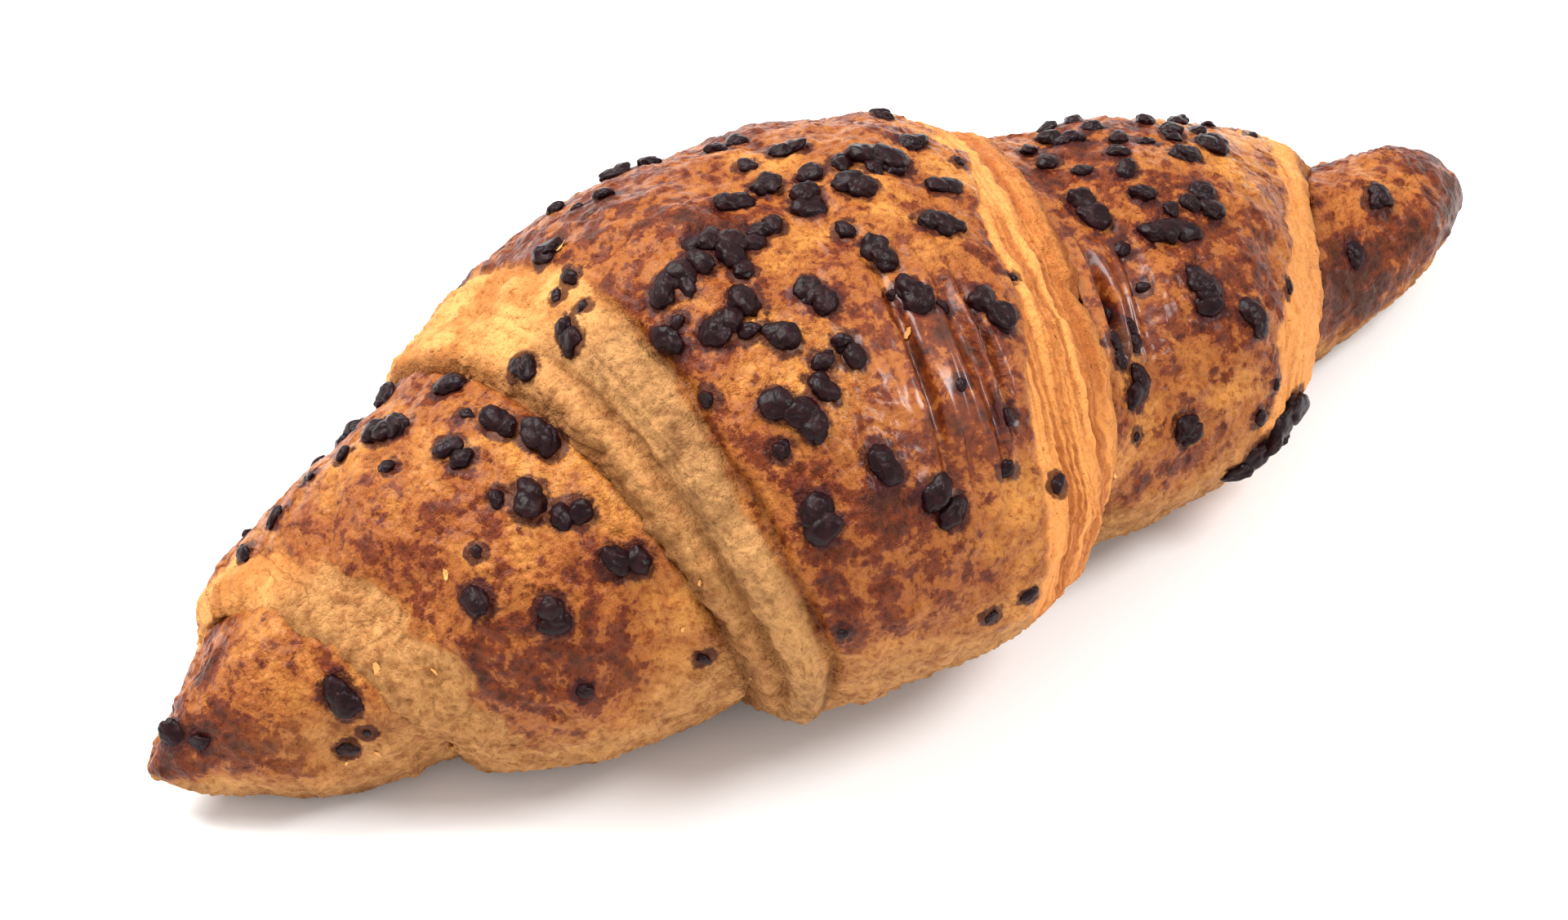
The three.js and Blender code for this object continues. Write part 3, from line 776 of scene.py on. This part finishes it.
def crustMaterial():
    look = crustFinish
    n = Nodes("bakedCrust")
    glaze, deep, fibre = n.mask("glaze"), n.mask("deep"), n.mask("fibre")
    wall, low, crease = n.mask("wall"), n.mask("low"), n.mask("crease")
    broad, middle = n.noise(8, 4, 0.6, 0.6), n.noise(3.2, 4, 0.62, 0.5)
    fine, speck = n.noise(0.9, 3, 0.6), n.noise(0.35, 2, 0.6)
    golden = n.blend(n.span(n.sum(broad, n.math("MULTIPLY", middle, 0.6)), 0.62, 0.98),
                     look["golden"], look["goldenDark"])
    cream = n.blend(n.span(n.sum(broad, n.math("MULTIPLY", fine, 0.5)), 0.55, 1.05),
                    look["cream"], look["creamShade"])
    tan = n.blend(n.span(n.sum(middle, n.math("MULTIPLY", fine, 0.6)), 0.5, 1.1),
                  look["tan"], look["tanDark"])
    bare = n.blend(wall, tan, cream)
    upper = n.blend(n.span(broad, 0.42, 0.62), look["upperTone"], look["upperShade"])
    bare = n.blend(n.math("MULTIPLY", n.mask("upper"), 0.85), bare, upper)
    fibreTone = n.blend(n.span(n.sum(n.mask("stripeTone"), n.math("MULTIPLY", fine, 0.5)), 0.55, 0.95),
                        look["fibreDark"], look["fibreLight"])
    colour = n.blend(glaze, bare, golden)
    colour = n.blend(fibre, colour, fibreTone)
    toasted = n.math("MULTIPLY", n.span(n.sum(deep, n.math("MULTIPLY", n.math("SUBTRACT", broad, 0.5), 0.9)),
                                        0.22, 0.55), glaze)
    colour = n.blend(n.math("MULTIPLY", toasted, 0.78), colour, look["amber"])
    blotch = n.sum(deep, n.math("MULTIPLY", n.math("SUBTRACT", broad, 0.5), 1.1),
                   n.math("MULTIPLY", n.math("SUBTRACT", middle, 0.5), 1.3),
                   n.math("MULTIPLY", n.math("SUBTRACT", fine, 0.5), 0.5),
                   n.math("MULTIPLY", n.math("SUBTRACT", 0.45, n.cells(2.6)), 0.45))
    patchy = n.math("ADD", n.span(blotch, 0.3, 0.75, 0.0, 0.4), n.span(blotch, 0.52, 0.59, 0.0, 0.6))
    brownness = n.math("MULTIPLY", patchy, n.math("MAXIMUM", glaze, n.math("MULTIPLY", low, 0.2)))
    brown = n.blend(n.span(blotch, 0.6, 1.0), look["brown"], look["brownDark"])
    colour = n.blend(n.math("MULTIPLY", brownness, 0.88), colour, brown)
    # painted shade along the creases and in the wall's grooves
    colour = n.blend(n.math("MULTIPLY", crease, 0.55), colour, look["paintedCreaseShade"])
    # partly chocolate stain, partly painted shade round each granule and crumb
    stainAndShade = n.span(n.sum(n.mask("stainAndShade"), n.math("MULTIPLY", n.math("SUBTRACT", middle, 0.5), 2.6),
                         n.math("MULTIPLY", n.math("SUBTRACT", fine, 0.5), 0.8)), 0.45, 0.95)
    stainAndShade = n.math("MULTIPLY", stainAndShade, n.span(n.mask("stainAndShade"), 0.0, 0.35))
    colour = n.blend(n.math("MULTIPLY", stainAndShade, 0.85), colour, look["stainAndShade"])
    grain = n.math("MULTIPLY", n.span(fine, 0.45, 0.68), n.span(glaze, 0.0, 1.0, 0.3, 0.9))
    colour = n.blend(grain, colour, n.blend(1.0, colour, look["grainTone"], "MULTIPLY"))
    # partly tray browning, partly painted shade on the lowest few millimetres
    colour = n.blend(n.math("MULTIPLY", n.mask("sole"), 0.55), colour, look["soleBrownAndShade"])
    n.join(colour, n.shader.inputs["Base Color"])
    smoothest, roughest = look["glazeRoughness"]
    glazeRough = n.span(n.sum(middle, n.math("MULTIPLY", fine, 0.5)), 0.5, 1.0, smoothest, roughest)
    node = n.add("ShaderNodeMix", data_type="FLOAT")
    n.join(glaze, node.inputs[0])
    node.inputs[2].default_value = look["doughRoughness"]
    n.join(glazeRough, node.inputs[3])
    n.join(node.outputs[0], n.shader.inputs["Roughness"])
    n.shader.inputs["Specular IOR Level"].default_value = look["specular"]
    n.join(n.math("MULTIPLY", n.mask("gloss"), look["coat"]), n.shader.inputs["Coat Weight"])
    n.shader.inputs["Coat Roughness"].default_value = look["coatRoughness"]
    rest = n.span(n.mask("gloss"), 0.2, 1.0, 0.9, 0.1)
    skin = n.bump(middle, 0.9, rest)
    skin = n.bump(fine, 0.6, rest, skin)
    skin = n.bump(speck, 0.22, rest, skin)
    n.join(skin, n.shader.inputs["Normal"])
    return n.material


chocolateFinish = {
    "dark": paint(0.085, 0.022, 0.034), "light": paint(0.135, 0.04, 0.05),
    "roughness": (0.28, 0.45), "specular": 0.12,
}


def flakeMaterial():
    look = crustFinish
    n = Nodes("looseFlakes")
    patches, fine = n.noise(5, 3), n.noise(0.6, 2)
    tone = n.blend(n.span(patches, 0.5, 0.7), look["upperTone"], look["cream"])
    tone = n.blend(n.span(fine, 0.5, 0.8), tone, look["goldenDark"])
    n.join(tone, n.shader.inputs["Base Color"])
    n.join(n.span(fine, 0.3, 0.7, 0.5, 0.75), n.shader.inputs["Roughness"])
    n.shader.inputs["Specular IOR Level"].default_value = look["specular"]
    n.join(n.bump(fine, 0.15, 0.7), n.shader.inputs["Normal"])
    return n.material


def chocolateMaterial():
    look = chocolateFinish
    n = Nodes("bakedChocolate")
    patches, grain = n.noise(1.1, 3), n.noise(0.3, 2)
    n.join(n.blend(n.span(patches, 0.4, 0.7), look["dark"], look["light"]), n.shader.inputs["Base Color"])
    n.join(n.span(patches, 0.3, 0.7, *look["roughness"]), n.shader.inputs["Roughness"])
    n.shader.inputs["Specular IOR Level"].default_value = look["specular"]
    skin = n.bump(patches, 0.25, 0.6)
    n.join(n.bump(grain, 0.1, 0.5, skin), n.shader.inputs["Normal"])
    return n.material


x, deg, smooth, normals, points, masks, poles = buildCrust()
shift = shiftToFrame(smooth)
print("crust shaped,", points.shape[0], "by", points.shape[1])
tree = crustTree(points, shift)

granules, marks = [], []
for name in sorted(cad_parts):
    if name.startswith("granule_"):
        for co, faces, spot, reach in dropsOf(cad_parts[name], tree, len(granules) + seeds["granules"]):
            granules.append((co, faces))
            marks.append((spot, reach))
bits = []
for number, (along, angle, across) in enumerate(crumbs):
    here = (crustPoints(np.array([along], float), np.array([angle], float))[0] + shift) * mm
    seed = seeds["crumbs"] + number
    dice = np.random.default_rng(seed)
    stretch, turn = 1 + granuleLook["crumbStretch"] * dice.random(), dice.random() * math.pi
    co, faces, spot, reach = seatedDrop(here, across * mm, stretch, turn, tree, seed)
    bits.append((co, faces))
    marks.append((spot, reach))
print("granules seated:", len(granules), "and crumbs:", len(bits))

# a dark ring round each piece: partly chocolate bled into the crust, partly painted shade where the piece
# sits on it
stainAndShade = np.zeros(points.shape[:2])
placed = (points + shift) * mm
for spot, reach in marks:
    gap = np.linalg.norm(placed - spot, axis=-1) / (reach + granuleLook["stainAndShadeReach"] * mm)
    stainAndShade = np.maximum(stainAndShade, 1 - ease(*granuleLook["stainAndShadeEdge"], gap))
masks["stainAndShade"] = stainAndShade

crust = crustObject(x, points, masks, poles, shift)
crust.data.materials.append(crustMaterial())
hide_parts("croissant")
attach(crust, "root")

chocolate = chocolateMaterial()
granulePiece = joinedPiece("chocolateGranules", granules)
granulePiece.data.materials.append(chocolate)
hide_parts(*[n for n in sorted(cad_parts) if n.startswith("granule_")])
crumbPiece = joinedPiece("chocolateCrumbs", bits)
crumbPiece.data.materials.append(chocolate)
for piece in (granulePiece, crumbPiece):
    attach(piece, "root")
flakePiece = joinedPiece("crustFlakes", scatterFlakes(tree, shift))
flakePiece.data.materials.append(flakeMaterial())
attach(flakePiece, "root")
print("pieces joined")


studio = {
    "tableSize": 6.0, "tableTone": (0.93, 0.925, 0.92, 1), "roomStrength": 1.0,
    "keyPlace": (-0.3, 0.55, 1.0), "keySize": 0.9, "keyPower": 25,
    "glintPlace": (0.45, -0.5, 1.0), "glintSize": 0.4, "glintPower": 9,
}


def makeTable():
    half = studio["tableSize"] / 2
    mesh = bpy.data.meshes.new("table")
    corners = [(-half, -half, 0), (half, -half, 0), (half, half, 0), (-half, half, 0)]
    mesh.from_pydata(corners, [], [(0, 1, 2, 3)])
    table = bpy.data.objects.new("table", mesh)
    bpy.context.scene.collection.objects.link(table)
    n = Nodes("paleTable")
    n.shader.inputs["Base Color"].default_value = studio["tableTone"]
    n.shader.inputs["Roughness"].default_value = 0.9
    n.shader.inputs["Specular IOR Level"].default_value = 0.1
    mesh.materials.append(n.material)


def softLight(name, place, size, power):
    lamp = bpy.data.lights.new(name, "AREA")
    lamp.shape = "DISK"
    lamp.size, lamp.energy = size, power
    holder = bpy.data.objects.new(name, lamp)
    holder.location = place
    holder.rotation_mode = "QUATERNION"
    holder.rotation_quaternion = (Vector((0, 0, 0.02)) - Vector(place)).to_track_quat("-Z", "Y")
    bpy.context.scene.collection.objects.link(holder)


makeTable()
softLight("keyLight", studio["keyPlace"], studio["keySize"], studio["keyPower"])
softLight("glintLight", studio["glintPlace"], studio["glintSize"], studio["glintPower"])
room = bpy.data.worlds.new("room")
room.use_nodes = True
room.node_tree.nodes["Background"].inputs["Color"].default_value = (1, 1, 1, 1)
room.node_tree.nodes["Background"].inputs["Strength"].default_value = studio["roomStrength"]
bpy.context.scene.world = room
bpy.context.scene.view_settings.view_transform = "Standard"

eye = {
    "azimuth": -32, "elevation": 45, "distance": 0.62, "lens": 125.55, "sensor": 36,
    "targetHeight": 0.019, "targetAcross": 0.01643, "targetUp": 0.00597,
}


def makeCamera():
    a, e = math.radians(eye["azimuth"]), math.radians(eye["elevation"])
    back = Vector((math.sin(a) * math.cos(e), -math.cos(a) * math.cos(e), math.sin(e)))
    right = Vector((math.cos(a), math.sin(a), 0))
    up = back.cross(right)
    target = Vector((shift[0] * mm, shift[1] * mm, eye["targetHeight"]))
    straight = Matrix((right, up, back)).transposed().to_quaternion()
    aim = -back - right * eye["targetAcross"] - up * eye["targetUp"]
    lens = bpy.data.cameras.new("camera")
    lens.lens, lens.sensor_width = eye["lens"], eye["sensor"]
    lens.clip_start, lens.clip_end = 0.05, 20
    camera = bpy.data.objects.new("camera", lens)
    camera.location = target + back * eye["distance"]
    camera.rotation_mode = "QUATERNION"
    camera.rotation_quaternion = (-back).rotation_difference(aim) @ straight
    bpy.context.scene.collection.objects.link(camera)
    bpy.context.scene.camera = camera


makeCamera()
print("table, lights and camera placed")
